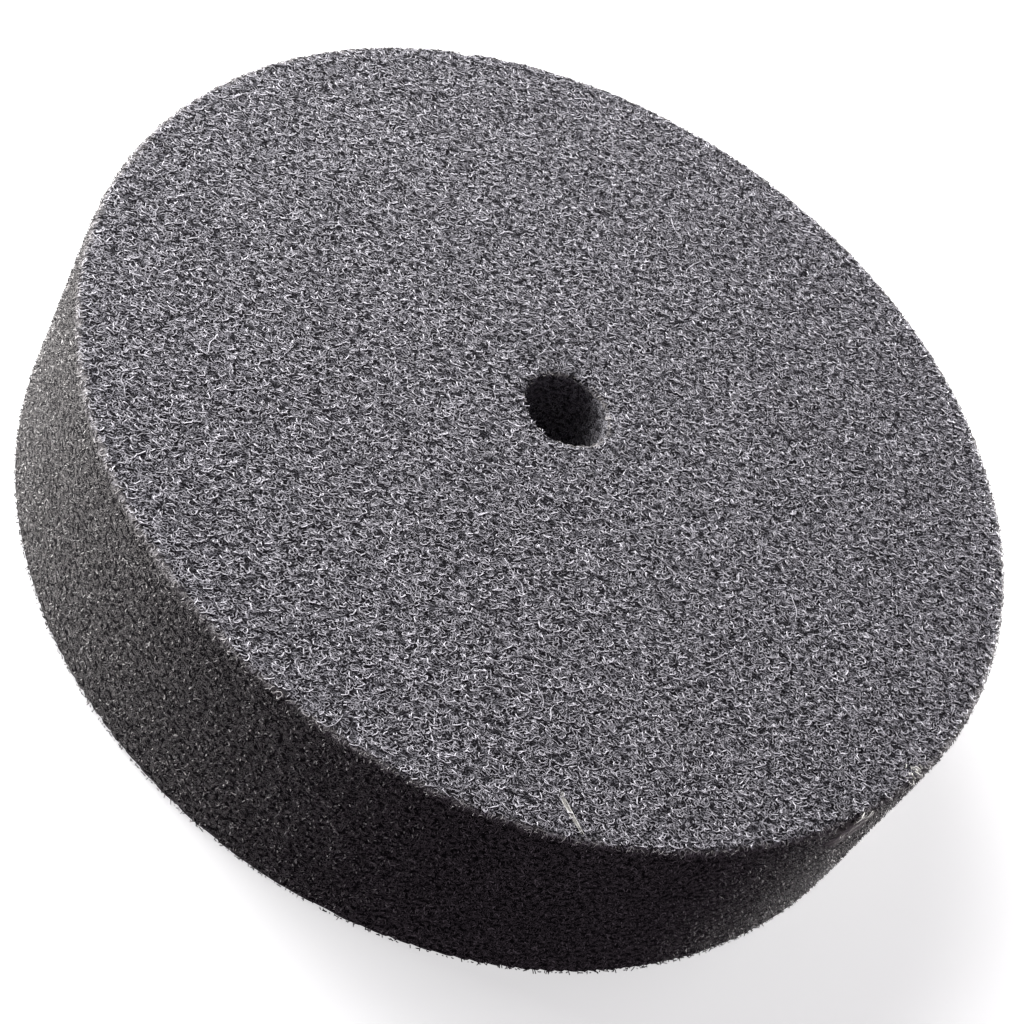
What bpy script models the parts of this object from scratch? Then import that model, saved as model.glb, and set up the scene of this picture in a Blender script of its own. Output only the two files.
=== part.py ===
"""A non-woven polishing wheel, lying on one of its two flat faces.

The wheel is a single slab: a thick web of crimped nylon fibres and abrasive grain, pressed and bonded
hard, cut to a disc, turned true and bored for a spindle. It has no core, bush, flange or separate
layers, so it is one solid. Its two edges and the lips of its bore are softened, as turning leaves them,
and it has two small marks of handling at one face: a nick in the edge and a dent in the rim.

Units are metres. +Z is the wheel's axis, and the origin is the centre of the face that it lies on.
"""

import math

import bmesh
import bpy
from mathutils import Matrix

MM = 0.001

# Driving sizes of the wheel
WHEEL_DIAMETER = 150.0 * MM
WHEEL_THICKNESS = 36.0 * MM
SPINDLE_DIAMETER = 12.7 * MM
SPINDLE_CLEARANCE = 0.5 * MM
RIM_EDGE_RADIUS = 0.8 * MM
BORE_EDGE_RADIUS = 0.6 * MM

# The nick in the upper edge, and the dent in the rim just under it on the other side
NICK_AZIMUTH = math.radians(128.5)
NICK_WIDTH = 2.0 * MM
NICK_HEIGHT = 2.8 * MM
NICK_DEPTH = 1.4 * MM
DENT_AZIMUTH = math.radians(-30.5)
DENT_WIDTH = 5.0 * MM
DENT_HEIGHT = 5.6 * MM
DENT_DEPTH = 0.9 * MM
DENT_BELOW_FACE = 2.6 * MM

# Fineness of the round surfaces
TURN_STEPS = 120
RIM_EDGE_STEPS = 4
BORE_EDGE_STEPS = 3
SCOOP_STEPS = 20
SMOOTH_BELOW = math.radians(40.0)

# Sizes that follow from the ones above
WHEEL_RADIUS = WHEEL_DIAMETER / 2
BORE_RADIUS = (SPINDLE_DIAMETER + SPINDLE_CLEARANCE) / 2


def rounded_corner(corner_r, corner_z, radius, inward_r, inward_z, steps, along_z_first):
    """Points (r, z) of the quarter round that replaces one square corner of the section.

    inward_r and inward_z are +1 or -1 and point from the corner to the middle of the material.
    """
    centre_r = corner_r + inward_r * radius
    centre_z = corner_z + inward_z * radius
    points = []
    for i in range(steps + 1):
        turn = math.pi / 2 * i / steps
        r = centre_r - inward_r * radius * math.cos(turn)
        z = centre_z - inward_z * radius * math.sin(turn)
        points.append((r, z))
    return points if along_z_first else points[::-1]


def wheel_section():
    """The closed outline of the slab on one side of its axis, as points (r, z)."""
    low, high = 0.0, WHEEL_THICKNESS
    return (
        rounded_corner(WHEEL_RADIUS, low, RIM_EDGE_RADIUS, -1, 1, RIM_EDGE_STEPS, False)
        + rounded_corner(WHEEL_RADIUS, high, RIM_EDGE_RADIUS, -1, -1, RIM_EDGE_STEPS, True)
        + rounded_corner(BORE_RADIUS, high, BORE_EDGE_RADIUS, 1, -1, BORE_EDGE_STEPS, False)
        + rounded_corner(BORE_RADIUS, low, BORE_EDGE_RADIUS, 1, 1, BORE_EDGE_STEPS, True)
    )


def turned_mesh(name, section):
    """A closed mesh made by turning a section once round the Z axis."""
    bm = bmesh.new()
    corners = [bm.verts.new((r, 0.0, z)) for r, z in section]
    sides = [bm.edges.new((corners[i - 1], corners[i])) for i in range(len(corners))]
    bmesh.ops.spin(
        bm,
        geom=corners + sides,
        cent=(0.0, 0.0, 0.0),
        axis=(0.0, 0.0, 1.0),
        dvec=(0.0, 0.0, 0.0),
        angle=2 * math.pi,
        steps=TURN_STEPS,
        use_merge=True,
        use_duplicate=False,
    )
    bmesh.ops.recalc_face_normals(bm, faces=bm.faces)
    mesh = bpy.data.meshes.new(name)
    bm.to_mesh(mesh)
    bm.free()
    return mesh


def web_material():
    """Dark grey nylon web filled with abrasive grain: rough all over, with no shine."""
    material = bpy.data.materials.new("non_woven_web")
    material.use_nodes = True
    shader = material.node_tree.nodes["Principled BSDF"]
    shader.inputs["Base Color"].default_value = (0.13, 0.127, 0.136, 1.0)
    shader.inputs["Roughness"].default_value = 0.95
    shader.inputs["Metallic"].default_value = 0.0
    return material


def rim_scoop(name, azimuth, height_up, width, height, depth):
    """An egg-shaped cutter centred on the rim's surface, which leaves a hollow of the given sizes."""
    bm = bmesh.new()
    shape = Matrix.Diagonal((depth, width / 2, height / 2, 1.0))
    bmesh.ops.create_uvsphere(
        bm, u_segments=SCOOP_STEPS, v_segments=SCOOP_STEPS // 2, radius=1.0, matrix=shape
    )
    mesh = bpy.data.meshes.new(name)
    bm.to_mesh(mesh)
    bm.free()
    scoop = bpy.data.objects.new(name, mesh)
    scoop.location = (WHEEL_RADIUS * math.cos(azimuth), WHEEL_RADIUS * math.sin(azimuth), height_up)
    scoop.rotation_euler = (0.0, 0.0, azimuth)
    scoop.hide_render = True
    scoop.display_type = "WIRE"
    bpy.context.collection.objects.link(scoop)
    return scoop


def cut(target, cutter):
    """Takes the cutter's shape out of the target."""
    modifier = target.modifiers.new(cutter.name, "BOOLEAN")
    modifier.operation = "DIFFERENCE"
    modifier.solver = "EXACT"
    modifier.object = cutter


def polishing_wheel():
    """The whole wheel, with its bore, softened edges and two marks."""
    mesh = turned_mesh("polishing_wheel", wheel_section())
    wheel = bpy.data.objects.new("polishing_wheel", mesh)
    wheel.data.materials.append(web_material())
    bpy.context.collection.objects.link(wheel)
    mesh.shade_smooth()
    mesh.set_sharp_from_angle(angle=SMOOTH_BELOW)
    cut(wheel, rim_scoop("nick_scoop", NICK_AZIMUTH, WHEEL_THICKNESS, NICK_WIDTH, NICK_HEIGHT, NICK_DEPTH))
    dent_up = WHEEL_THICKNESS - DENT_BELOW_FACE
    cut(wheel, rim_scoop("dent_scoop", DENT_AZIMUTH, dent_up, DENT_WIDTH, DENT_HEIGHT, DENT_DEPTH))
    return wheel


def main():
    for old in list(bpy.data.objects):
        bpy.data.objects.remove(old, do_unlink=True)
    polishing_wheel()


if __name__ == "__main__":
    main()
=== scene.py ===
"""The looks of a non-woven polishing wheel: its fibre web, curled fibres, fuzzy edges and studio.

Laid out as a Blender add-on and run as a script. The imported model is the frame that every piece
takes its place from. Units are metres, +Z is the wheel's axis and the wheel lies on z = 0.
"""

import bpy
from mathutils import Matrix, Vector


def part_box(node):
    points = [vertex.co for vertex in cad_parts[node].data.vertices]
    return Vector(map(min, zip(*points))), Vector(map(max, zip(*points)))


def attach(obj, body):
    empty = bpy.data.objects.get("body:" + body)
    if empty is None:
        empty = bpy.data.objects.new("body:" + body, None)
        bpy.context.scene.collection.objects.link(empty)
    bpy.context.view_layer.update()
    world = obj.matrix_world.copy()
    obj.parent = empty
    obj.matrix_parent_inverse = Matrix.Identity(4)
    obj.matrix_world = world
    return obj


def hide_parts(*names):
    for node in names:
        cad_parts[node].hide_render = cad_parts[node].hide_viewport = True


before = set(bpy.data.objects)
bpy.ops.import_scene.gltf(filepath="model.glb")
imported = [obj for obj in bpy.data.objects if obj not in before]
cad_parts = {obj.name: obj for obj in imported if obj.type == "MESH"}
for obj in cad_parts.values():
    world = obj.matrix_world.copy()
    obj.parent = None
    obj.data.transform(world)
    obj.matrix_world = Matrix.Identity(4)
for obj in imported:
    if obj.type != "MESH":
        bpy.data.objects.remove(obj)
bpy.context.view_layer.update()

import math

import bmesh
import bpy
import numpy as np
from bpy.props import FloatProperty, FloatVectorProperty, IntProperty, PointerProperty
from mathutils import Matrix, Vector

bl_info = {
    "name": "Non-woven polishing wheel",
    "version": (1, 0, 0),
    "blender": (4, 5, 0),
    "location": "3D View > Sidebar > Wheel",
    "description": "Builds the fibre web, curled fibres and studio of a non-woven polishing wheel",
    "category": "Object",
}

MM = 0.001
NODE = "polishing_wheel"
BODY = "root"


def read(items, key, kind=np.float32, width=1):
    """One value of every corner, loop or face of a mesh, as an array with a row for each."""
    values = np.empty(len(items) * width, kind)
    items.foreach_get(key, values)
    return values.reshape(-1, width) if width > 1 else values


def node_points(name):
    """All corners of a CAD node's mesh, as rows of x, y and z."""
    return read(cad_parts[name].data.vertices, "co", width=3)


# Sizes read from the frame
LOW, HIGH = (Vector(corner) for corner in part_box(NODE))
THICKNESS = HIGH.z - LOW.z
WHEEL_RADIUS = (HIGH.x - LOW.x) / 2
BORE_RADIUS = float(np.hypot(*node_points(NODE)[:, :2].T).min())


def dent_centre():
    """The middle of the rim's hollow, from its points well below the upper face."""
    points = node_points(NODE)
    radius = np.hypot(points[:, 0], points[:, 1])
    on_rim = (radius > WHEEL_RADIUS / 2) & (radius < WHEEL_RADIUS - 0.3 * MM)
    well_below = (points[:, 2] < HIGH.z - 2 * MM) & (points[:, 2] > THICKNESS / 2)
    return Vector(points[on_rim & well_below].mean(axis=0).tolist())


DENT = dent_centre()
DENT_AZIMUTH = math.atan2(DENT.y, DENT.x)

# The name of the map that a piece's flat layout is stored under
BAKE_MAP = "OFBake"

# The photograph's viewpoint: aimed at a point of the upper face, from azimuth 0
CAMERA_ELEVATION = math.radians(43.505)
CAMERA_DISTANCE = 373.2 * MM
CAMERA_ROLL = math.radians(33.469)
CAMERA_LENS = 87.66
AIM_X = 1.38 * MM
AIM_Y = -24.12 * MM
SENSOR_WIDTH = 36.0

# The body's web pattern. Sizes are in mm and rates are per mm. Each layer of strands, from the deepest to
# the top, is (shift, rate, half width, level). A strand has its full height over STRAND_CORE of its half
# width, and sinks to SUNK_SHARE of that height where a slow noise falls through DIVE_BAND. SLOPE_STEP is
# how far apart the strands' noise is sampled for its slope. A lower level or a sunk strand also gets a
# darker colour, as painted shade of the web's hollows.
STRAND_LAYERS = (
    ((31.0, 7.0, 0.0), 1.9, 0.145, 0.42),
    ((3.0, 11.0, 0.0), 1.75, 0.135, 0.62),
    ((17.0, 2.0, 0.0), 1.6, 0.135, 0.82),
    ((8.0, 24.0, 0.0), 1.45, 0.13, 1.0),
)
STRAND_CORE = 0.3
SLOPE_STEP = 0.05
LEAST_SLOPE = 1e-4
DIVE_RATE = 0.8
DIVE_BAND = (0.42, 0.52)
SUNK_SHARE = 0.15
GRIT_RATE = 2.4
GRIT_DEPTH = 0.45

# The web was laid in one direction, so most fibres on the faces run that way. It is turned from +X, and
# the faces' pattern is stretched along it and pressed across it.
LAY_TURN = math.radians(19.0)
LAY_STRETCH = (1.1, 0.9, 1.0)

# On the rim and in the bore the pattern is this much finer than on the faces, and flatter still up the
# thickness. It starts SIDE_BAND from the rim or the bore, and the rim's colours come in over RIM_BAND, in mm.
SIDE_FINENESS = 1.35
SIDE_FLATNESS = 1.15
SIDE_BAND = 0.25
RIM_BAND = (0.4, 0.15)

# Broad clumps of the web, per mm, their shades, and how far they make the painted edge highlight
# wander, in mm
CLUMP_RATE = 0.2
CLUMP_NOISE = (0.3, 0.7)
CLUMP_SHADES = (0.88, 1.12)
EDGE_WANDER = 2.4

# Pale colour: how far it reaches from an outer edge and from the bore's lips, as a painted edge highlight,
# and from the dent, as a scuff with painted light over it, in mm, the share of an edge's reach that it is
# full over, the share that the bore's wall has, as painted light, and how much pale colour it gives
EDGE_HIGHLIGHT_REACH = 1.3
LIP_HIGHLIGHT_REACH = 0.6
DENT_SCUFF_AND_LIGHT = (5.0, 2.0)
HIGHLIGHT_CORE = 0.2
BORE_PAINTED_LIGHT = 0.1
WEAR_AND_LIGHT_SHARE = 0.8

# Relief of the body's shading: how strong it is and how deep it looks
BUMP_STRENGTH = 0.9
BUMP_DEPTH = 0.2 * MM

# A fibre's tone is a sum of its own random tone and of the grain on it, per mm, from dim to bright. The
# own tone also sets how high a fibre lies, so lower fibres are darker, as painted shade.
GRAIN_RATE = 1.5
GRAIN_SHARE = 1.6
OWN_TONE_AND_SHADE_SHARE = 0.6
TONE_BAND = (0.82, 1.42)

# The body's lumps, broad and fine, per mm, the grid that they are made on, and the least heights of the
# body and of the fibres above the bench
BROAD_LUMPS = 0.25 / MM
FINE_LUMPS = 0.8 / MM
BODY_GRID = 1.05 * MM
BODY_CLEARANCE = 0.22 * MM
FIBRE_CLEARANCE = 0.1 * MM

# A scattered fibre: its sides, the shares that its curl is widened and lengthened by, the share of its
# crimp that stands out of the surface, and a shift that gives each fibre a crimp of its own
FIBRE_SIDES = 3
CURL_WIDTHS = (0.35, 1.3)
CURL_LENGTHS = (0.7, 1.7)
CRIMP_RISE = 0.2
CRIMP_SHIFT = (97.0, 61.0, 43.0)

# Which way a surface faces, as the least and the most height of its normal
FACES_UP = (0.97, 1.1)
FACES_DOWN = (-1.1, -0.97)
FACES_SIDEWAYS = (-0.5, 0.5)
FACES_ANY_WAY = (-1.1, 1.1)
UPPER_EDGE = (0.15, 0.97)
LOWER_EDGE = (-0.9, -0.3)

# How far the floor reaches each way, in metres, and how much it glows, so that it stays pale in light
# that is set for a dark wheel
FLOOR_REACH = 4.0
FLOOR_GLOW = 0.7


def linear(hex_colour):
    """A linear RGBA colour from an sRGB hex string such as #b8b6bc."""
    parts = [int(hex_colour[i : i + 2], 16) / 255 for i in (1, 3, 5)]
    return tuple(c / 12.92 if c <= 0.04045 else ((c + 0.055) / 1.055) ** 2.4 for c in parts) + (1.0,)


def add(tree, kind, inputs=None, **settings):
    """Adds a node to a tree. inputs gives each socket, by name or number, a value or a source socket."""
    made = tree.nodes.new(kind)
    for key, value in settings.items():
        setattr(made, key, value)
    for key, value in (inputs or {}).items():
        if isinstance(value, bpy.types.NodeSocket):
            tree.links.new(value, made.inputs[key])
        else:
            made.inputs[key].default_value = value
    return made


# What every colour setting has
COLOUR = {"size": 4, "subtype": "COLOR"}


class WheelLook(bpy.types.PropertyGroup):
    """Sizes and colours of the web that a user would change."""

    # Real filaments are 0.05 to 0.1 mm thick. They are drawn about twice as coarse, so that they show.
    fibre_width: FloatProperty(
        name="Fibre width", description="Width of one fibre", default=0.185 * MM, unit="LENGTH"
    )
    curl_radius: FloatProperty(
        name="Curl radius", description="Radius of a fibre's curl on a face", default=0.43 * MM, unit="LENGTH"
    )
    crimp_size: FloatProperty(
        name="Crimp size", description="Width of one crimp along a fibre", default=0.7 * MM, unit="LENGTH"
    )
    relief: FloatProperty(
        name="Relief", description="Height of the web's soft lumps", default=0.14 * MM, unit="LENGTH"
    )
    seed: IntProperty(name="Seed", description="Seed of the random layout", default=7, subtype="UNSIGNED")
    curl_colour: FloatVectorProperty(
        name="Curls", description="Brightest curls on the faces", default=linear("#e6e4ea"), **COLOUR
    )
    fibre_colour: FloatVectorProperty(
        name="Fibre", description="Fibre at the top of the body's web", default=linear("#c0bec4"), **COLOUR
    )
    # Fibre below the surface: the fibre's colour made darker, as painted shade
    deep_shaded_colour: FloatVectorProperty(
        name="Deep fibre", description="Fibre below the surface", default=linear("#747379"), **COLOUR
    )
    # The pores' colour is painted shade between the fibres
    pore_shade_colour: FloatVectorProperty(
        name="Pore", description="The dark between fibres", default=linear("#0b080c"), **COLOUR
    )
    rim_colour: FloatVectorProperty(
        name="Rim fibre", description="Cut fibre ends on the rim", default=linear("#a8a5a3"), **COLOUR
    )
    # Pale colour of the edge fuzz, which the body also takes for its painted highlight along the edges and
    # its painted light round the dent and in the bore
    fuzz_and_highlight_colour: FloatVectorProperty(
        name="Edge fuzz", description="Pale fuzz along the edges", default=linear("#c4c0c0"), **COLOUR
    )


class StageLook(bpy.types.PropertyGroup):
    """The floor and the lights."""

    floor_colour: FloatVectorProperty(
        name="Floor", description="Colour of the floor", default=linear("#f2f2f2"), **COLOUR
    )
    world_colour: FloatVectorProperty(
        name="Fill colour", description="Colour of the light all round", default=linear("#fbe8ff"), **COLOUR
    )
    key_power: FloatProperty(
        name="Key", description="Power of the upper softbox", default=4.6, unit="POWER"
    )
    left_power: FloatProperty(
        name="Left", description="Power of the left strip", default=10.0, unit="POWER"
    )
    right_power: FloatProperty(
        name="Right", description="Power of the right strip", default=13.5, unit="POWER"
    )
    world_light: FloatProperty(
        name="Fill", description="Strength of the light all round", default=0.11, subtype="FACTOR"
    )


def from_axis(tree, point):
    """The point with its height taken out, and how far it is from the wheel's axis."""
    flat = add(tree, "ShaderNodeVectorMath", {0: point, 1: (1.0, 1.0, 0.0)}, operation="MULTIPLY").outputs[0]
    return flat, add(tree, "ShaderNodeVectorMath", {0: flat}, operation="LENGTH").outputs["Value"]


# Materials


def position_mm(tree):
    """The point being shaded, in millimetres, from the object's own coordinates."""
    place = add(tree, "ShaderNodeTexCoord").outputs["Object"]
    return add(tree, "ShaderNodeVectorMath", {0: place, 3: 1 / MM}, operation="SCALE").outputs[0]


def fibre_lines(tree, sheet, afloat, shift, per_mm, half_width):
    """Curled strands, where a smooth noise crosses its middle value. 1 on a strand, 0 off it.

    sheet is the place on the surface laid flat. The noise's slope is taken from two more samples, so that
    a strand keeps its width. Strands show where afloat is high, so that they dive and end. Sizes are in mm.
    """
    start = add(tree, "ShaderNodeVectorMath", {0: sheet, 1: shift}, operation="ADD").outputs[0]
    samples = []
    for step in ((0.0, 0.0, 0.0), (SLOPE_STEP, 0.0, 0.0), (0.0, SLOPE_STEP, 0.0)):
        spot = add(tree, "ShaderNodeVectorMath", {0: start, 1: step}, operation="ADD").outputs[0]
        settings = {"Vector": spot, "Scale": per_mm, "Detail": 0.0}
        noise = add(tree, "ShaderNodeTexNoise", settings, noise_dimensions="2D")
        samples.append(noise.outputs["Fac"])
    here, *asides = samples
    slope = add(tree, "ShaderNodeCombineXYZ")
    for axis, there in enumerate(asides):
        rise = add(tree, "ShaderNodeMath", {0: there, 1: here}, operation="SUBTRACT")
        tree.links.new(rise.outputs[0], slope.inputs[axis])
    steep = add(tree, "ShaderNodeVectorMath", {0: slope.outputs[0]}, operation="LENGTH").outputs["Value"]
    safe = add(tree, "ShaderNodeMath", {0: steep, 1: LEAST_SLOPE}, operation="MAXIMUM").outputs[0]
    off = add(tree, "ShaderNodeMath", {0: here, 1: 0.5}, operation="SUBTRACT").outputs[0]
    near = add(tree, "ShaderNodeMath", {0: off}, operation="ABSOLUTE").outputs[0]
    steps = add(tree, "ShaderNodeMath", {0: near, 1: safe}, operation="DIVIDE").outputs[0]
    edge = half_width / SLOPE_STEP
    line = add(
        tree,
        "ShaderNodeMapRange",
        {"Value": steps, "From Min": STRAND_CORE * edge, "From Max": edge, "To Min": 1.0, "To Max": 0.0},
        interpolation_type="SMOOTHSTEP",
    ).outputs[0]
    low, high = DIVE_BAND
    seen = add(
        tree,
        "ShaderNodeMapRange",
        {"Value": afloat, "From Min": low, "From Max": high, "To Min": SUNK_SHARE, "To Max": 1.0},
        interpolation_type="SMOOTHSTEP",
    ).outputs[0]
    return add(tree, "ShaderNodeMath", {0: line, 1: seen}, operation="MULTIPLY").outputs[0]


def lay_over(tree, below, line, level):
    """The higher of what lies below and a strand at the given level."""
    raised = add(tree, "ShaderNodeMath", {0: line, 1: level}, operation="MULTIPLY")
    return add(tree, "ShaderNodeMath", {0: below, 1: raised.outputs[0]}, operation="MAXIMUM").outputs[0]


def new_material(name, roughness):
    """A material with a Principled shader, and its tree and shader."""
    material = bpy.data.materials.new(name)
    material.use_nodes = True
    tree = material.node_tree
    shader = tree.nodes["Principled BSDF"]
    shader.inputs["Roughness"].default_value = roughness
    shader.inputs["IOR"].default_value = 1.5
    return material, tree, shader


def near_edge(tree, radius, gap, at_radius, reach, wander):
    """1 at the round edge of that radius where a face ends, falling to 0 at reach from it, in mm."""
    across = add(tree, "ShaderNodeMath", {0: radius, 1: at_radius}, operation="SUBTRACT").outputs[0]
    both = add(tree, "ShaderNodeCombineXYZ", {0: across, 1: gap})
    away = add(tree, "ShaderNodeVectorMath", {0: both.outputs[0]}, operation="LENGTH").outputs["Value"]
    uneven = add(tree, "ShaderNodeMath", {0: away, 1: wander}, operation="ADD").outputs[0]
    return add(
        tree,
        "ShaderNodeMapRange",
        {"Value": uneven, "From Min": reach, "From Max": HIGHLIGHT_CORE * reach},
        interpolation_type="SMOOTHSTEP",
    ).outputs[0]


def clumps(tree, place):
    """Broad light and dark clumps of the web, which the body and the fibres on it share."""
    clouds = add(
        tree, "ShaderNodeTexNoise", {"Vector": place, "Scale": CLUMP_RATE, "Detail": 3.0, "Roughness": 0.6}
    ).outputs["Fac"]
    (low, high), (dark, light) = CLUMP_NOISE, CLUMP_SHADES
    shade = add(
        tree,
        "ShaderNodeMapRange",
        {"Value": clouds, "From Min": low, "From Max": high, "To Min": dark, "To Max": light},
    ).outputs[0]
    return clouds, shade


def nonwoven_web(look):
    """Pressed and bonded nylon web with abrasive grain: a mat of curled grey fibres over pores.

    The pores and the lower strands are darker, as painted shade of the web's hollows. The faces show
    whole curls. The turned rim shows cut fibre ends, so it is finer and more neutral. A pale, soft band along
    the edges and round the bore's lips is a painted edge highlight. Round the dent the rim is lighter: a
    scuff, with painted light over it. The bore is deep, with dark fibres, and its wall is a little lighter as
    painted light.
    """
    material, tree, shader = new_material("bonded_nylon_web", 0.85)
    shader.inputs["Specular IOR Level"].default_value = 0.08
    place = position_mm(tree)
    x, y, z = add(tree, "ShaderNodeSeparateXYZ", {0: place}).outputs
    across, radius = from_axis(tree, place)
    outer, inner = WHEEL_RADIUS / MM, BORE_RADIUS / MM
    rim = add(
        tree,
        "ShaderNodeMapRange",
        {"Value": radius, "From Min": outer - RIM_BAND[0], "From Max": outer - RIM_BAND[1]},
        interpolation_type="SMOOTHSTEP",
    ).outputs[0]
    middle = THICKNESS / 2 / MM
    level = add(tree, "ShaderNodeMath", {0: z, 1: middle}, operation="SUBTRACT").outputs[0]
    up = add(tree, "ShaderNodeMath", {0: level}, operation="ABSOLUTE").outputs[0]
    gap = add(tree, "ShaderNodeMath", {0: middle, 1: up}, operation="SUBTRACT").outputs[0]

    # The surface laid flat: a face by x and y, the rim and the bore by the way round and the height
    side_starts, bore_ends = outer - SIDE_BAND, inner + SIDE_BAND
    outside = add(tree, "ShaderNodeMath", {0: radius, 1: side_starts}, operation="GREATER_THAN").outputs[0]
    inside = add(tree, "ShaderNodeMath", {0: radius, 1: bore_ends}, operation="LESS_THAN").outputs[0]
    side = add(tree, "ShaderNodeMath", {0: outside, 1: inside}, operation="MAXIMUM").outputs[0]
    angle = add(tree, "ShaderNodeMath", {0: y, 1: x}, operation="ARCTAN2").outputs[0]
    arc = add(tree, "ShaderNodeMath", {0: angle, 1: radius}, operation="MULTIPLY").outputs[0]
    unrolled = add(tree, "ShaderNodeCombineXYZ", {0: arc, 1: z}).outputs[0]
    shares = (SIDE_FINENESS, SIDE_FINENESS * SIDE_FLATNESS, 0.0)
    unrolled = add(tree, "ShaderNodeVectorMath", {0: unrolled, 1: shares}, operation="MULTIPLY").outputs[0]
    laid = add(
        tree,
        "ShaderNodeMapping",
        {"Vector": across, "Rotation": (0.0, 0.0, LAY_TURN), "Scale": LAY_STRETCH},
        vector_type="TEXTURE",
    ).outputs[0]
    sheet = add(tree, "ShaderNodeMix", {0: side, 4: laid, 5: unrolled}, data_type="VECTOR").outputs[1]

    settings = {"Vector": sheet, "Scale": DIVE_RATE, "Detail": 0.0}
    dives = add(tree, "ShaderNodeTexNoise", settings, noise_dimensions="2D").outputs["Color"]
    parts = add(tree, "ShaderNodeSeparateColor", {0: dives}).outputs
    last = add(tree, "ShaderNodeMath", {0: 1.0, 1: parts[0]}, operation="SUBTRACT").outputs[0]
    strands = 0.0
    for (shift, per_mm, half_width, top), afloat in zip(STRAND_LAYERS, (*parts[:3], last)):
        line = fibre_lines(tree, sheet, afloat, shift, per_mm, half_width)
        strands = lay_over(tree, strands, line, top)
    settings = {"Vector": sheet, "Scale": GRIT_RATE, "Detail": 1.0, "Roughness": 0.7}
    grit = add(tree, "ShaderNodeTexNoise", settings, noise_dimensions="2D").outputs["Fac"]
    speck = add(tree, "ShaderNodeMath", {0: grit, 1: 0.5}, operation="SUBTRACT").outputs[0]
    strands = add(
        tree, "ShaderNodeMath", {0: speck, 1: GRIT_DEPTH, 2: strands}, operation="MULTIPLY_ADD"
    ).outputs[0]

    # Colours from the bottom of the pores to the top of the strands, on the faces and on the rim. Below the
    # fibre's own colour at the top, the pores and the lower strands are darker as painted shade.
    face_shade_steps = ((0.38, linear("#302f33")), (0.65, look.deep_shaded_colour))
    rim_shade_steps = ((0.45, linear("#2c2a2c")),)
    shown = []
    for top_colour, steps in ((look.fibre_colour, face_shade_steps), (look.rim_colour, rim_shade_steps)):
        depth_shade = add(tree, "ShaderNodeValToRGB", {0: strands})
        ramp = depth_shade.color_ramp
        ramp.elements[0].position, ramp.elements[0].color = 0.05, look.pore_shade_colour
        ramp.elements[1].position, ramp.elements[1].color = 1.0, top_colour
        for position, step_colour in steps:
            ramp.elements.new(position).color = step_colour
        shown.append(depth_shade.outputs[0])
    colour = add(tree, "ShaderNodeMix", {0: rim, 6: shown[0], 7: shown[1]}, data_type="RGBA").outputs[2]

    # Pale colour, the strongest of the painted highlight along the edges and the bore's lips, the scuff with
    # painted light round the dent, and the painted light on the bore's wall
    clouds, shade = clumps(tree, place)
    wander = add(
        tree, "ShaderNodeMath", {0: clouds, 1: EDGE_WANDER, 2: -EDGE_WANDER / 2}, operation="MULTIPLY_ADD"
    ).outputs[0]
    # A pale band along the outer edges and the bore's lips is a painted edge highlight
    wear_and_light = near_edge(tree, radius, gap, outer, EDGE_HIGHLIGHT_REACH, wander)
    lip_highlight = near_edge(tree, radius, gap, inner, LIP_HIGHLIGHT_REACH, wander)
    # Round the dent the rim is lighter: a scuff, with painted light on a hollow that faces away from the
    # lamps
    from_dent = add(tree, "ShaderNodeVectorMath", {0: place, 1: DENT / MM}, operation="DISTANCE")
    dent_scuff_and_light = add(
        tree,
        "ShaderNodeMapRange",
        {"Value": from_dent.outputs["Value"], "From Min": DENT_SCUFF_AND_LIGHT[0], "From Max": DENT_SCUFF_AND_LIGHT[1]},
        interpolation_type="SMOOTHSTEP",
    ).outputs[0]
    # The bore's wall is a little lighter all over, as painted light deep in the bore
    bore_painted_light = add(tree, "ShaderNodeMath", {0: inside, 1: BORE_PAINTED_LIGHT}, operation="MULTIPLY").outputs[0]
    for more in (lip_highlight, dent_scuff_and_light, bore_painted_light):
        wear_and_light = add(tree, "ShaderNodeMath", {0: wear_and_light, 1: more}, operation="MAXIMUM").outputs[0]
    # The pale colour, darker over the pores, for the painted highlight and light and for the scuff
    pale_and_lit_colours = {6: linear("#4a4748"), 7: look.fuzz_and_highlight_colour}
    pale_and_lit = add(tree, "ShaderNodeMix", {0: strands, **pale_and_lit_colours}, data_type="RGBA").outputs[2]
    share = add(tree, "ShaderNodeMath", {0: wear_and_light, 1: WEAR_AND_LIGHT_SHARE}, operation="MULTIPLY").outputs[0]
    colour = add(tree, "ShaderNodeMix", {0: share, 6: colour, 7: pale_and_lit}, data_type="RGBA").outputs[2]
    final = add(tree, "ShaderNodeVectorMath", {0: colour, 3: shade}, operation="SCALE")
    tree.links.new(final.outputs[0], shader.inputs["Base Color"])

    bump = add(tree, "ShaderNodeBump", {"Strength": BUMP_STRENGTH, "Distance": BUMP_DEPTH, "Height": strands})
    tree.links.new(bump.outputs[0], shader.inputs["Normal"])
    return material


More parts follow.
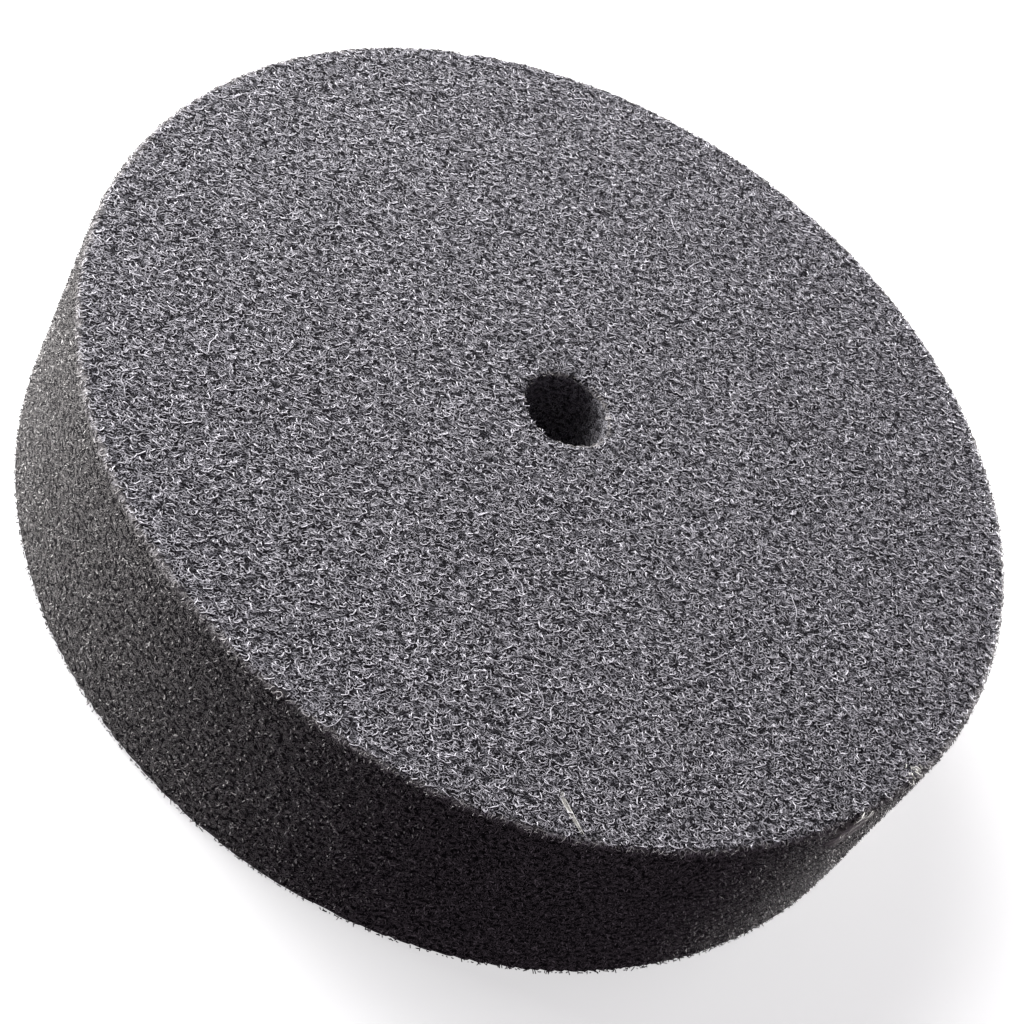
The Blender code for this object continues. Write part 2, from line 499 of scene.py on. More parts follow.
def nylon_fibre(name, bright, dim, roughness):
    """Crimped nylon filament coated with grain: each fibre goes from dim to bright along its length.

    Some fibres are brighter all along, by their own tone, which also sets how high they lie, so that lower
    fibres are darker, as painted shade. The grain takes most of the plastic's gloss.
    """
    material, tree, shader = new_material(name, roughness)
    tone = add(tree, "ShaderNodeAttribute", attribute_name="tone")
    place = position_mm(tree)
    grain = add(tree, "ShaderNodeTexNoise", {"Vector": place, "Scale": GRAIN_RATE, "Detail": 1.0})
    own = add(tree, "ShaderNodeMath", {0: tone.outputs["Fac"], 1: OWN_TONE_AND_SHADE_SHARE}, operation="MULTIPLY").outputs[0]
    terms = {0: grain.outputs["Fac"], 1: GRAIN_SHARE, 2: own}
    mixed = add(tree, "ShaderNodeMath", terms, operation="MULTIPLY_ADD")
    share = add(
        tree,
        "ShaderNodeMapRange",
        {"Value": mixed.outputs[0], "From Min": TONE_BAND[0], "From Max": TONE_BAND[1]},
        interpolation_type="SMOOTHSTEP",
    ).outputs[0]
    colour = add(tree, "ShaderNodeMix", {0: share, 6: dim, 7: bright}, data_type="RGBA").outputs[2]
    shade = clumps(tree, place)[1]
    final = add(tree, "ShaderNodeVectorMath", {0: colour, 3: shade}, operation="SCALE")
    tree.links.new(final.outputs[0], shader.inputs["Base Color"])
    return material


def pale_floor(look):
    """Matt white card, which shows as an even pale ground with a soft shadow."""
    material, tree, shader = new_material("white_card", 0.9)
    shader.inputs["Base Color"].default_value = look.floor_colour
    shader.inputs["Emission Color"].default_value = look.floor_colour
    shader.inputs["Emission Strength"].default_value = FLOOR_GLOW
    return material


# Geometry


def cad_copy(name):
    """A new object with the wheel's own shape: the CAD node's triangles joined into one surface."""
    bm = bmesh.new()
    bm.from_mesh(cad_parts[NODE].data)
    bmesh.ops.remove_doubles(bm, verts=bm.verts, dist=1e-6)
    mesh = bpy.data.meshes.new(name)
    bm.to_mesh(mesh)
    bm.free()
    made = bpy.data.objects.new(name, mesh)
    bpy.context.collection.objects.link(made)
    return made


def node_tree(name, numbers, others):
    """An empty Geometry Nodes tree with its named inputs, numbers and others, and its two end nodes."""
    tree = bpy.data.node_groups.new(name, "GeometryNodeTree")
    tree.interface.new_socket("Geometry", in_out="INPUT", socket_type="NodeSocketGeometry")
    for label, kind in {**dict.fromkeys(numbers, "NodeSocketFloat"), **others}.items():
        tree.interface.new_socket(label, in_out="INPUT", socket_type=kind)
    tree.interface.new_socket("Geometry", in_out="OUTPUT", socket_type="NodeSocketGeometry")
    return tree, add(tree, "NodeGroupInput"), add(tree, "NodeGroupOutput")


def end_tree(tree, shape, material, out):
    """Ends a tree: its shape smooth, made real and given its material."""
    smooth = add(tree, "GeometryNodeSetShadeSmooth", {0: shape})
    real = add(tree, "GeometryNodeRealizeInstances", {0: smooth.outputs[0]})
    coat = add(tree, "GeometryNodeSetMaterial", {0: real.outputs[0], "Material": material})
    tree.links.new(coat.outputs[0], out.inputs[0])
    return tree


def apply_tree(target, tree, values):
    """Runs a tree on an object, with its inputs set by identifier, and leaves a plain mesh."""
    modifier = target.modifiers.new(tree.name, "NODES")
    modifier.node_group = tree
    for item in tree.interface.items_tree:
        if item.item_type == "SOCKET" and item.in_out == "INPUT" and item.name in values:
            modifier[item.identifier] = values[item.name]
    depsgraph = bpy.context.evaluated_depsgraph_get()
    mesh = bpy.data.meshes.new_from_object(target.evaluated_get(depsgraph), depsgraph=depsgraph)
    mesh.name = target.name
    old = target.data
    target.modifiers.clear()
    target.data = mesh
    bpy.data.meshes.remove(old)
    return mesh


def above_least(tree, point, least_height):
    """The point, raised to the least height if it lies lower, so that nothing hangs into the bench."""
    x, y, z = add(tree, "ShaderNodeSeparateXYZ", {0: point}).outputs
    kept = add(tree, "ShaderNodeMath", {0: z, 1: least_height}, operation="MAXIMUM").outputs[0]
    return add(tree, "ShaderNodeCombineXYZ", {0: x, 1: y, 2: kept}).outputs[0]


def relief_tree():
    """Raises soft lumps on a surface, as pressed web has, with a finer unevenness over them."""
    tree, given, out = node_tree(
        "web_relief", ("Lump Height", "Least Height"), {"Material": "NodeSocketMaterial"}
    )
    place = add(tree, "GeometryNodeInputPosition").outputs[0]
    broad = add(tree, "ShaderNodeTexNoise", {"Vector": place, "Scale": BROAD_LUMPS, "Detail": 1.0})
    fine = add(tree, "ShaderNodeTexNoise", {"Vector": place, "Scale": FINE_LUMPS, "Detail": 0.0})
    terms = {0: broad.outputs["Fac"], 1: fine.outputs["Fac"]}
    both = add(tree, "ShaderNodeMath", terms, operation="ADD").outputs[0]
    level = add(tree, "ShaderNodeMath", {0: both, 1: 1.0}, operation="SUBTRACT").outputs[0]
    lump = given.outputs["Lump Height"]
    height = add(tree, "ShaderNodeMath", {0: level, 1: lump}, operation="MULTIPLY").outputs[0]
    normal = add(tree, "GeometryNodeInputNormal").outputs[0]
    offset = add(tree, "ShaderNodeVectorMath", {0: normal, 3: height}, operation="SCALE").outputs[0]
    free = add(tree, "ShaderNodeVectorMath", {0: place, 1: offset}, operation="ADD").outputs[0]
    seated = above_least(tree, free, given.outputs["Least Height"])
    moved = add(tree, "GeometryNodeSetPosition", {"Geometry": given.outputs["Geometry"], "Position": seated})
    return end_tree(tree, moved.outputs[0], given.outputs["Material"], out)


def fibre_tree():
    """Scatters curled fibres over the part of a surface that faces and lies within given limits."""
    roots_by = ("Density", "Spacing", "Least Facing", "Most Facing", "Inner Radius", "Outer Radius", "Reach")
    curled_by = ("Curl Radius", "Sweep", "Fibre Width", "Crimp Size", "Crimp Reach", "Tilt", "Slant", "Spin")
    seated_by = ("Lift", "Sink", "Inner Limit", "Outer Limit", "Least Height")
    others = {
        "Seed": "NodeSocketInt",
        "Joints": "NodeSocketInt",
        "Centre": "NodeSocketVector",
        "Lay": "NodeSocketVector",
        "Material": "NodeSocketMaterial",
    }
    tree, given, out = node_tree("curled_fibres", (*roots_by, *curled_by, *seated_by), others)
    value = given.outputs

    # Roots
    normal = add(tree, "GeometryNodeInputNormal").outputs[0]
    facing = add(tree, "ShaderNodeSeparateXYZ", {0: normal}).outputs[2]
    place = add(tree, "GeometryNodeInputPosition").outputs[0]
    flat, radius = from_axis(tree, place)
    past = add(tree, "FunctionNodeCompare", {0: facing, 1: value["Least Facing"]}, operation="GREATER_THAN")
    short = add(tree, "FunctionNodeCompare", {0: facing, 1: value["Most Facing"]}, operation="LESS_THAN")
    chosen = add(tree, "FunctionNodeBooleanMath", {0: past.outputs[0], 1: short.outputs[0]}, operation="AND")
    roots = add(
        tree,
        "GeometryNodeDistributePointsOnFaces",
        {
            "Mesh": value["Geometry"],
            "Selection": chosen.outputs[0],
            "Distance Min": value["Spacing"],
            "Density Max": value["Density"],
            "Seed": value["Seed"],
        },
        distribute_method="POISSON",
    )
    outward = roots.outputs["Normal"]
    kept = add(
        tree,
        "GeometryNodeStoreNamedAttribute",
        {"Geometry": roots.outputs["Points"], "Name": "outward", "Value": outward},
        data_type="FLOAT_VECTOR",
        domain="POINT",
    )
    off = add(tree, "ShaderNodeVectorMath", {0: place, 1: value["Centre"]}, operation="DISTANCE")
    left_out = False
    for far, bound, operation in (
        (off.outputs["Value"], "Reach", "GREATER_THAN"),
        (radius, "Inner Radius", "LESS_THAN"),
        (radius, "Outer Radius", "GREATER_THAN"),
    ):
        test = add(tree, "FunctionNodeCompare", {0: far, 1: value[bound]}, operation=operation)
        both = add(tree, "FunctionNodeBooleanMath", {0: left_out, 1: test.outputs[0]}, operation="OR")
        left_out = both.outputs[0]
    near = add(
        tree,
        "GeometryNodeDeleteGeometry",
        {"Geometry": kept.outputs[0], "Selection": left_out},
        domain="POINT",
    )

    # One curl is part of a ring, moved so that its middle lies on its root
    half_sweep = add(tree, "ShaderNodeMath", {0: value["Sweep"], 1: -0.5}, operation="MULTIPLY").outputs[0]
    ring_part = add(
        tree,
        "GeometryNodeCurveArc",
        {
            "Resolution": value["Joints"],
            "Radius": value["Curl Radius"],
            "Start Angle": half_sweep,
            "Sweep Angle": value["Sweep"],
        },
        mode="RADIUS",
    )
    inward = add(tree, "ShaderNodeMath", {0: value["Curl Radius"], 1: -1.0}, operation="MULTIPLY").outputs[0]
    aside = add(tree, "ShaderNodeCombineXYZ", {0: inward}).outputs[0]
    curl = add(tree, "GeometryNodeTransform", {"Geometry": ring_part.outputs[0], "Translation": aside})

    # Before it is spun, each curl's own Y axis runs along the lay where one is given, or else round the wheel
    axis = (0.0, 0.0, 1.0)
    turned = add(tree, "ShaderNodeVectorMath", {0: axis, 1: flat}, operation="CROSS_PRODUCT").outputs[0]
    turned = add(tree, "ShaderNodeVectorMath", {0: turned, 1: value["Lay"]}, operation="ADD").outputs[0]
    aligned = add(
        tree,
        "FunctionNodeAxesToRotation",
        {"Primary Axis": outward, "Secondary Axis": turned},
        primary_axis="Z",
        secondary_axis="Y",
    )
    slant, most_spin = value["Slant"], value["Spin"]
    from_spin = add(tree, "ShaderNodeMath", {0: slant, 1: most_spin}, operation="SUBTRACT").outputs[0]
    to_spin = add(tree, "ShaderNodeMath", {0: slant, 1: most_spin}, operation="ADD").outputs[0]
    spin = add(
        tree, "FunctionNodeRandomValue", {2: from_spin, 3: to_spin, "Seed": value["Seed"]}, data_type="FLOAT"
    )
    back_tilt = add(tree, "ShaderNodeMath", {0: value["Tilt"], 1: -1.0}, operation="MULTIPLY").outputs[0]
    lean = add(
        tree, "FunctionNodeRandomValue", {2: back_tilt, 3: value["Tilt"], "Seed": 3}, data_type="FLOAT"
    )
    turn = add(tree, "ShaderNodeCombineXYZ", {0: lean.outputs[1], 2: spin.outputs[1]})
    turn = add(tree, "FunctionNodeEulerToRotation", {0: turn.outputs[0]})
    posed = add(
        tree,
        "FunctionNodeRotateRotation",
        {"Rotation": aligned.outputs[0], "Rotate By": turn.outputs[0]},
        rotation_space="LOCAL",
    )
    grown = add(tree, "ShaderNodeCombineXYZ", {2: 1.0})
    for axis, (least, most), seed in ((0, CURL_WIDTHS, 5), (1, CURL_LENGTHS, 6)):
        size = add(tree, "FunctionNodeRandomValue", {2: least, 3: most, "Seed": seed}, data_type="FLOAT")
        tree.links.new(size.outputs[1], grown.inputs[axis])
    placed = add(
        tree,
        "GeometryNodeInstanceOnPoints",
        {
            "Points": near.outputs[0],
            "Instance": curl.outputs[0],
            "Rotation": posed.outputs[0],
            "Scale": grown.outputs[0],
        },
    )
    tone = add(tree, "FunctionNodeRandomValue", {2: 0.0, 3: 1.0, "Seed": 11}, data_type="FLOAT")
    toned = add(
        tree,
        "GeometryNodeStoreNamedAttribute",
        {"Geometry": placed.outputs[0], "Name": "tone", "Value": tone.outputs[1]},
        data_type="FLOAT",
        domain="INSTANCE",
    )
    strands = add(tree, "GeometryNodeRealizeInstances", {0: toned.outputs[0]})

    # Crimp along the surface, with the middle of each curl raised and its ends sunk in the web
    own = add(tree, "GeometryNodeInputNamedAttribute", {"Name": "tone"}, data_type="FLOAT").outputs[0]
    away = add(
        tree, "GeometryNodeInputNamedAttribute", {"Name": "outward"}, data_type="FLOAT_VECTOR"
    ).outputs[0]
    rate = add(tree, "ShaderNodeMath", {0: 1.0, 1: value["Crimp Size"]}, operation="DIVIDE").outputs[0]
    scaled = add(tree, "ShaderNodeVectorMath", {0: place, 3: rate}, operation="SCALE").outputs[0]
    apart = add(tree, "ShaderNodeVectorMath", {0: CRIMP_SHIFT, 3: own}, operation="SCALE").outputs[0]
    seat = add(tree, "ShaderNodeVectorMath", {0: scaled, 1: apart}, operation="ADD").outputs[0]
    crimp = add(tree, "ShaderNodeTexNoise", {"Vector": seat, "Scale": 1.0, "Detail": 0.0})
    sway = add(
        tree, "ShaderNodeVectorMath", {0: crimp.outputs["Color"], 1: (0.5, 0.5, 0.5)}, operation="SUBTRACT"
    ).outputs[0]
    crimp_reach = value["Crimp Reach"]
    reach = add(tree, "ShaderNodeVectorMath", {0: sway, 3: crimp_reach}, operation="SCALE").outputs[0]
    rise = add(tree, "ShaderNodeVectorMath", {0: reach, 1: away}, operation="DOT_PRODUCT").outputs["Value"]
    upward = add(tree, "ShaderNodeVectorMath", {0: away, 3: rise}, operation="SCALE").outputs[0]
    along = add(tree, "ShaderNodeVectorMath", {0: reach, 1: upward}, operation="SUBTRACT").outputs[0]
    share = add(tree, "GeometryNodeSplineParameter").outputs["Factor"]
    angle = add(tree, "ShaderNodeMath", {0: share, 1: math.pi}, operation="MULTIPLY").outputs[0]
    arch = add(tree, "ShaderNodeMath", {0: angle}, operation="SINE").outputs[0]
    # The fibre's own tone sets its lift, and its material brightens it by the same tone, so that lower fibres
    # are painted darker, as shade
    lift = add(tree, "ShaderNodeMath", {0: value["Lift"], 1: own}, operation="MULTIPLY").outputs[0]
    high = add(tree, "ShaderNodeMath", {0: arch, 1: lift}, operation="MULTIPLY").outputs[0]
    level = add(tree, "ShaderNodeMath", {0: high, 1: value["Sink"]}, operation="SUBTRACT").outputs[0]
    wave = add(tree, "ShaderNodeMath", {0: rise, 1: CRIMP_RISE, 2: level}, operation="MULTIPLY_ADD")
    raised = add(tree, "ShaderNodeVectorMath", {0: away, 3: wave.outputs[0]}, operation="SCALE").outputs[0]
    offset = add(tree, "ShaderNodeVectorMath", {0: along, 1: raised}, operation="ADD").outputs[0]
    free = add(tree, "ShaderNodeVectorMath", {0: place, 1: offset}, operation="ADD").outputs[0]

    # No fibre hangs past the limits, measured from the axis
    reached = from_axis(tree, free)[1]
    held = add(
        tree,
        "ShaderNodeClamp",
        {"Value": reached, "Min": value["Inner Limit"], "Max": value["Outer Limit"]},
    ).outputs[0]
    pull = add(tree, "ShaderNodeMath", {0: held, 1: reached}, operation="DIVIDE").outputs[0]
    shrink = add(tree, "ShaderNodeCombineXYZ", {0: pull, 1: pull, 2: 1.0}).outputs[0]
    seated = add(tree, "ShaderNodeVectorMath", {0: free, 1: shrink}, operation="MULTIPLY").outputs[0]
    seated = above_least(tree, seated, value["Least Height"])
    bent = add(tree, "GeometryNodeSetPosition", {"Geometry": strands.outputs[0], "Position": seated})

    thick = add(tree, "ShaderNodeMath", {0: value["Fibre Width"], 1: 0.5}, operation="MULTIPLY").outputs[0]
    ring = add(tree, "GeometryNodeCurvePrimitiveCircle", {"Resolution": FIBRE_SIDES, "Radius": thick})
    tube = add(
        tree,
        "GeometryNodeCurveToMesh",
        {"Curve": bent.outputs[0], "Profile Curve": ring.outputs[0], "Fill Caps": True},
    )
    return end_tree(tree, tube.outputs[0], value["Material"], out)


def mesh_corners(mesh):
    """Each face corner's vertex and face, and each face's first corner, as arrays."""
    vertex = read(mesh.loops, "vertex_index", np.int32)
    first = read(mesh.polygons, "loop_start", np.int32)
    sides = np.diff(np.append(first, len(vertex)))
    return vertex, np.repeat(np.arange(len(first)), sides), first


def write_map(mesh, across, up):
    """Stores a flat layout of a mesh's face corners, which its baked pictures use."""
    layout = mesh.uv_layers.new(name=BAKE_MAP)
    layout.data.foreach_set("uv", np.stack([across, up], axis=1).astype(np.float32).ravel())


def lay_out_fibres(mesh, joints):
    """Lays each fibre flat in a cell of its own: its three sides, and beside them its two ends."""
    vertex, face, first = mesh_corners(mesh)
    fibre, within = np.divmod(vertex, FIBRE_SIDES * joints)
    joint, side = np.divmod(within, FIBRE_SIDES)
    lowest = np.minimum.reduceat(side, first)[face]
    highest = np.maximum.reduceat(side, first)[face]
    is_end = np.bincount(face)[face] == FIBRE_SIDES

    # Shares of a cell. The last side's far corners are those of the first, one turn on.
    turn = np.where((lowest == 0) & (highest == 2) & (side == 0), FIBRE_SIDES, side)
    across = np.where(is_end, np.where(side == 1, 0.95, 0.78), 0.05 + 0.65 * turn / FIBRE_SIDES)
    end_up = np.where(joint == 0, 0.1, 0.6) + np.where(side == 2, 0.3, 0.0)
    up = np.where(is_end, end_up, 0.08 + 0.84 * joint / (joints - 1))
    columns = math.ceil(math.sqrt(fibre.max() + 1))
    write_map(mesh, (fibre % columns + across) / columns, (fibre // columns + up) / columns)


def lay_out_body(mesh):
    """Lays the body flat: both faces side by side, the rim in two strips and the bore in one."""
    vertex, face, first = mesh_corners(mesh)
    x, y, z = read(mesh.vertices, "co", width=3)[vertex].T
    facing = read(mesh.polygons, "normal", width=3)[:, 2][face]
    centre_x, centre_y = read(mesh.polygons, "center", width=3)[:, :2][face].T

    # Each corner's way round is taken near that of its face's centre, so that no face is torn
    whole = 2 * math.pi
    middle = np.arctan2(centre_y, centre_x) % whole
    way = middle + (np.arctan2(y, x) - middle + math.pi) % whole - math.pi
    height = (z - LOW.z) / THICKNESS
    strip = np.floor(middle / math.pi)

    # Shares of the whole map
    is_bore = np.hypot(centre_x, centre_y) < WHEEL_RADIUS / 2
    side_across = np.where(is_bore, 0.845 + 0.13 * way / whole, 0.02 + 0.78 * (way / math.pi - strip))
    side_up = np.where(is_bore, 0.03 + 0.42 * height, 0.03 + 0.22 * strip + 0.2 * height)
    scale = 0.24 / WHEEL_RADIUS
    disc_across = np.where(facing > 0, 0.25, 0.75) + x * scale
    disc_up = 0.745 + y * scale
    is_face = np.abs(facing) > 0.6
    write_map(mesh, np.where(is_face, disc_across, side_across), np.where(is_face, disc_up, side_up))


def finish_piece(piece):
    """Makes a piece ride on the wheel's body."""
    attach(piece, BODY)


def scatter(name, material, look, facing, **values):
    """One piece of fibres, scattered over the surface that faces that way.

    values are the tree's inputs, with the seed counted from the look's own.
    """
    piece = cad_copy(name)
    tree = bpy.data.node_groups.get("curled_fibres") or fibre_tree()
    values = {label.replace("_", " ").title(): value for label, value in values.items()}
    values["Seed"] += look.seed
    defaults = {
        "Spacing": 0.0,
        "Least Facing": facing[0],
        "Most Facing": facing[1],
        "Inner Radius": 0.0,
        "Outer Radius": 2 * WHEEL_RADIUS,
        "Centre": (0.0, 0.0, 0.0),
        "Reach": 2 * WHEEL_RADIUS,
        "Curl Radius": look.curl_radius,
        "Fibre Width": look.fibre_width,
        "Crimp Size": look.crimp_size,
        "Slant": 0.0,
        "Spin": math.pi,
        "Tilt": 0.0,
        "Lay": (0.0, 0.0, 0.0),
        "Inner Limit": 0.0,
        "Outer Limit": 2 * WHEEL_RADIUS,
        "Least Height": LOW.z + FIBRE_CLEARANCE,
        "Material": material,
    }
    mesh = apply_tree(piece, tree, {**defaults, **values})
    lay_out_fibres(mesh, values["Joints"])
    finish_piece(piece)


def around(azimuth, radius, height):
    """The place that far round the wheel, that far from its axis and that high."""
    return (radius * math.cos(azimuth), radius * math.sin(azimuth), height)


class WHEEL_OT_web(bpy.types.Operator):
    """Makes the wheel's body: one slab of pressed web with a soft, uneven surface"""

    bl_idname = "wheel.web"
    bl_label = "Web body"

    def execute(self, context):
        look = context.scene.wheel_look
        piece = cad_copy("web_body")
        grid = piece.modifiers.new("even_grid", "REMESH")
        grid.mode = "VOXEL"
        grid.voxel_size = BODY_GRID
        values = {
            "Lump Height": look.relief,
            "Least Height": LOW.z + BODY_CLEARANCE,
            "Material": nonwoven_web(look),
        }
        mesh = apply_tree(piece, relief_tree(), values)
        lay_out_body(mesh)
        finish_piece(piece)
        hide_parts(NODE)
        return {"FINISHED"}


class WHEEL_OT_face_fibres(bpy.types.Operator):
    """Lays curled fibres over both faces"""

    bl_idname = "wheel.face_fibres"
    bl_label = "Face fibres"

    def execute(self, context):
        look = context.scene.wheel_look
        material = nylon_fibre("crimped_nylon_fibre", look.curl_colour, linear("#2b2a2e"), 0.55)
        # Each layer's seed, then its spacing, lift and sink in mm. The lower face has one, pressed in.
        layers = (
            ("upper_curls_under", FACES_UP, 1, 1.06, 0.12, 0.06),
            ("upper_curls_between", FACES_UP, 2, 1.06, 0.18, 0.06),
            ("upper_curls_over", FACES_UP, 3, 1.06, 0.26, 0.06),
            ("lower_curls", FACES_DOWN, 8, 1.8, 0.3, 0.33),
        )
        for name, facing, seed, spacing, lift, sink in layers:
            scatter(
                name,
                material,
                look,
                facing,
                seed=seed,
                density=1.6 / MM**2,
                spacing=spacing * MM,
                sweep=math.radians(195.0),
                joints=5,
                lay=(math.cos(LAY_TURN), math.sin(LAY_TURN), 0.0),
                spin=1.05,
                inner_radius=BORE_RADIUS + 0.5 * MM,
                crimp_reach=0.9 * MM,
                lift=lift * MM,
                sink=sink * MM,
                inner_limit=BORE_RADIUS - 0.3 * MM,
                outer_limit=WHEEL_RADIUS - 0.45 * MM,
            )
        return {"FINISHED"}


class WHEEL_OT_rim_fibres(bpy.types.Operator):
    """Covers the rim and the bore with short cut fibre ends"""

    bl_idname = "wheel.rim_fibres"
    bl_label = "Rim and bore fibres"

    def execute(self, context):
        look = context.scene.wheel_look
        ends = nylon_fibre("cut_nylon_ends", linear("#d6d3d1"), linear("#1f1d1f"), 0.7)
        scatter(
            "rim_ends",
            ends,
            look,
            FACES_SIDEWAYS,
            seed=3,
            density=1.35 / MM**2,
            inner_radius=WHEEL_RADIUS / 2,
            curl_radius=0.4 * MM,
            sweep=math.radians(80.0),
            fibre_width=0.16 * MM,
            joints=2,
            crimp_reach=0.0,
            lift=0.05 * MM,
            sink=0.0,
            tilt=1.4,
            outer_limit=WHEEL_RADIUS + 0.26 * MM,
        )
        shaded = nylon_fibre("shaded_nylon_ends", linear("#7b797d"), linear("#3a393c"), 0.7)
        scatter(
            "bore_ends",
            shaded,
            look,
            FACES_SIDEWAYS,
            seed=4,
            density=0.8 / MM**2,
            outer_radius=WHEEL_RADIUS / 2,
            curl_radius=0.5 * MM,
            sweep=math.radians(120.0),
            fibre_width=0.18 * MM,
            joints=5,
            crimp_reach=0.5 * MM,
            lift=0.15 * MM,
            sink=0.05 * MM,
            tilt=0.3,
        )
        return {"FINISHED"}


class WHEEL_OT_edge_fuzz(bpy.types.Operator):
    """Puts pale fuzz along both edges of the rim and round both lips of the bore"""

    bl_idname = "wheel.edge_fuzz"
    bl_label = "Edge fuzz"

    def execute(self, context):
        look = context.scene.wheel_look
        pale = nylon_fibre("worn_edge_fibre", look.fuzz_and_highlight_colour, linear("#757270"), 0.7)
        edges = (("upper_fuzz", UPPER_EDGE, 5, 0.35), ("lower_fuzz", LOWER_EDGE, 6, 0.22))
        for name, facing, seed, curl_radius in edges:
            scatter(
                name,
                pale,
                look,
                facing,
                seed=seed,
                density=1.5 / MM**2,
                curl_radius=curl_radius * MM,
                sweep=math.radians(110.0),
                fibre_width=0.17 * MM,
                joints=4,
                crimp_reach=0.3 * MM,
                lift=0.06 * MM,
                sink=0.05 * MM,
                tilt=0.2,
                outer_limit=WHEEL_RADIUS + 0.05 * MM,
            )
        return {"FINISHED"}


class WHEEL_OT_handling_marks(bpy.types.Operator):
    """Pulls fibres out of the dent, and lays loose ones near the edge and over the upper face"""

    bl_idname = "wheel.handling_marks"
    bl_label = "Handling marks"

    def execute(self, context):
        look = context.scene.wheel_look
        pale = nylon_fibre("pulled_nylon_fibre", linear("#f0efe9"), linear("#b0aea8"), 0.6)
        grey = nylon_fibre("loose_nylon_fibre", linear("#c4c2c8"), linear("#77757a"), 0.6)
        dent = around(DENT_AZIMUTH + math.radians(1.0), WHEEL_RADIUS, HIGH.z - 3.6 * MM)
        edge = around(math.radians(-18.6), WHEEL_RADIUS - 0.6 * MM, HIGH.z)
        scratch = around(math.radians(-65.6), WHEEL_RADIUS - 4.2 * MM, HIGH.z)
        # The fibres near each mark: their reach, density, slant, spin, length and lift, in mm and degrees
        marks = (
            ("dent_strands", dent, 2.6, 2.6, 40.0, 14.0, 3.4, 2.4),
            ("edge_strands", edge, 2.2, 1.6, 0.0, 120.0, 0.6, 0.12),
            ("face_scratch", scratch, 0.55, 5.0, -60.6, 6.0, 4.6, 0.25),
        )
        for name, centre, reach, density, slant, spin, length, lift in marks:
            scatter(
                name,
                pale,
                look,
                FACES_ANY_WAY,
                seed=12,
                centre=centre,
                reach=reach * MM,
                density=density / MM**2,
                curl_radius=2.0 * length * MM,
                sweep=0.5,
                fibre_width=0.24 * MM,
                joints=8,
                crimp_size=1.5 * MM,
                crimp_reach=0.35 * MM,
                lift=lift * MM,
                sink=0.05 * MM,
                slant=math.radians(slant),
                spin=math.radians(spin),
                outer_limit=WHEEL_RADIUS + 0.2 * MM,
            )
        scatter(
            "loose_strands",
            grey,
            look,
            FACES_UP,
            seed=13,
            density=0.006 / MM**2,
            curl_radius=3.0 * MM,
            sweep=1.1,
            joints=10,
            crimp_size=1.6 * MM,
            crimp_reach=1.2 * MM,
            lift=0.25 * MM,
            sink=0.02 * MM,
            inner_limit=BORE_RADIUS + 0.1 * MM,
            outer_limit=WHEEL_RADIUS - 0.5 * MM,
        )
        return {"FINISHED"}


def softbox(name, azimuth, elevation, distance, width, height, power):
    """A rectangular lamp at a compass direction from the wheel, aimed at its middle."""
    lamp = bpy.data.lights.new(name, "AREA")
    lamp.shape = "RECTANGLE"
    lamp.size, lamp.size_y = width, height
    lamp.energy = power
    made = bpy.data.objects.new(name, lamp)
    made.visible_camera = False
    a, e = math.radians(azimuth), math.radians(elevation)
    outward = Vector((math.cos(a) * math.cos(e), math.sin(a) * math.cos(e), math.sin(e)))
    made.location = Vector((0.0, 0.0, THICKNESS / 2)) + outward * distance
    made.rotation_mode = "QUATERNION"
    made.rotation_quaternion = outward.to_track_quat("Z", "Y")
    bpy.context.collection.objects.link(made)


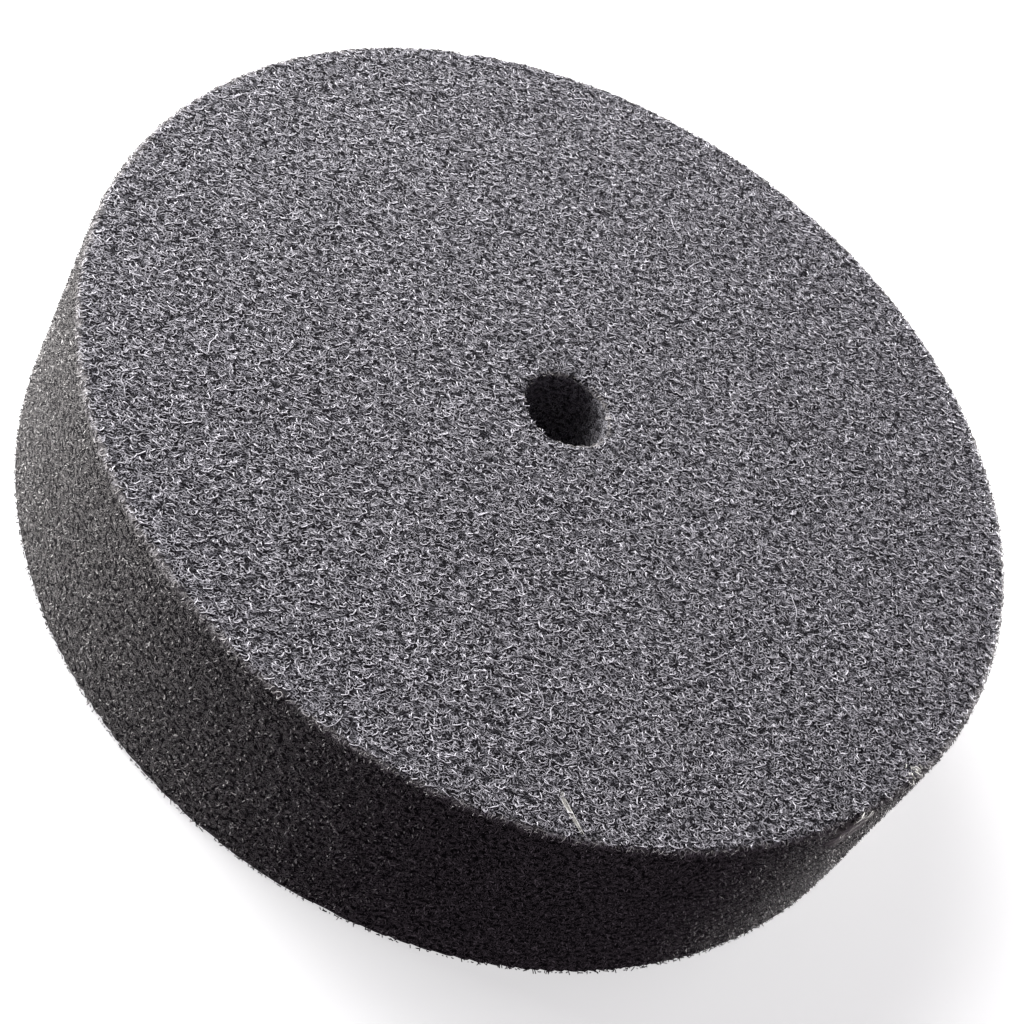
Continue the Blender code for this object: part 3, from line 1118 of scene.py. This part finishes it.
class WHEEL_OT_stage(bpy.types.Operator):
    """Sets the floor, the soft studio lights and the camera"""

    bl_idname = "wheel.stage"
    bl_label = "Stage"

    def execute(self, context):
        look = context.scene.stage_look
        bm = bmesh.new()
        bmesh.ops.create_grid(bm, x_segments=1, y_segments=1, size=FLOOR_REACH)
        mesh = bpy.data.meshes.new("floor")
        bm.to_mesh(mesh)
        bm.free()
        mesh.materials.append(pale_floor(look))
        floor = bpy.data.objects.new("floor", mesh)
        context.collection.objects.link(floor)

        # The floor throws no light up at the rim, whose lower part is almost black in the photo
        floor.visible_diffuse = False
        floor.visible_glossy = False

        # Way round and elevation in degrees, then distance, width and height in metres. The right strip
        # stays below the upper face, so that it lights the rim alone.
        softbox("key_softbox", 148.0, 43.0, 0.56, 0.5, 0.4, look.key_power)
        softbox("left_strip", 178.0, 8.0, 0.7, 0.6, 0.25, look.left_power)
        softbox("right_strip", 51.5, 0.0, 0.7, 0.4, 0.033, look.right_power)

        world = bpy.data.worlds.new("studio")
        world.use_nodes = True
        background = world.node_tree.nodes["Background"]
        background.inputs["Color"].default_value = look.world_colour
        background.inputs["Strength"].default_value = look.world_light
        context.scene.world = world
        context.scene.view_settings.view_transform = "Standard"

        camera_data = bpy.data.cameras.new("photo_view")
        camera_data.lens = CAMERA_LENS
        camera_data.sensor_width = SENSOR_WIDTH
        camera_data.clip_start, camera_data.clip_end = 0.01, 20.0
        camera = bpy.data.objects.new("photo_view", camera_data)
        level_back = Vector((0.0, -math.cos(CAMERA_ELEVATION), math.sin(CAMERA_ELEVATION)))
        face_centre = Vector((0.0, 0.0, HIGH.z))
        camera.location = face_centre + level_back * CAMERA_DISTANCE
        aim = face_centre + Vector((AIM_X, AIM_Y, 0.0))
        back = (camera.location - aim).normalized()
        upright = back.to_track_quat("Z", "Y")
        camera.rotation_mode = "QUATERNION"
        camera.rotation_quaternion = upright @ Matrix.Rotation(CAMERA_ROLL, 3, "Z").to_quaternion()
        context.collection.objects.link(camera)
        context.scene.camera = camera
        return {"FINISHED"}


class WHEEL_PT_panel(bpy.types.Panel):
    """Lists the wheel's pieces and their settings"""

    bl_idname = "WHEEL_PT_panel"
    bl_label = "Polishing wheel"
    bl_space_type = "VIEW_3D"
    bl_region_type = "UI"
    bl_category = "Wheel"

    def draw(self, context):
        for settings in (context.scene.wheel_look, context.scene.stage_look):
            column = self.layout.column()
            for key in settings.__annotations__:
                column.prop(settings, key)
        for operator in OPERATORS:
            self.layout.operator(operator.bl_idname)


OPERATORS = (
    WHEEL_OT_web,
    WHEEL_OT_face_fibres,
    WHEEL_OT_rim_fibres,
    WHEEL_OT_edge_fuzz,
    WHEEL_OT_handling_marks,
    WHEEL_OT_stage,
)
CLASSES = (WheelLook, StageLook, *OPERATORS, WHEEL_PT_panel)


def register():
    """Registers the classes, and adds the two groups of settings to every scene."""
    for cls in CLASSES:
        bpy.utils.register_class(cls)
    bpy.types.Scene.wheel_look = PointerProperty(type=WheelLook)
    bpy.types.Scene.stage_look = PointerProperty(type=StageLook)


def unregister():
    """Takes away what register adds."""
    del bpy.types.Scene.stage_look
    del bpy.types.Scene.wheel_look
    for cls in reversed(CLASSES):
        bpy.utils.unregister_class(cls)


def main():
    """Makes the whole scene."""
    register()
    bpy.ops.wheel.stage()
    bpy.ops.wheel.web()
    bpy.ops.wheel.face_fibres()
    bpy.ops.wheel.rim_fibres()
    bpy.ops.wheel.edge_fuzz()
    bpy.ops.wheel.handling_marks()


if __name__ == "__main__":
    main()
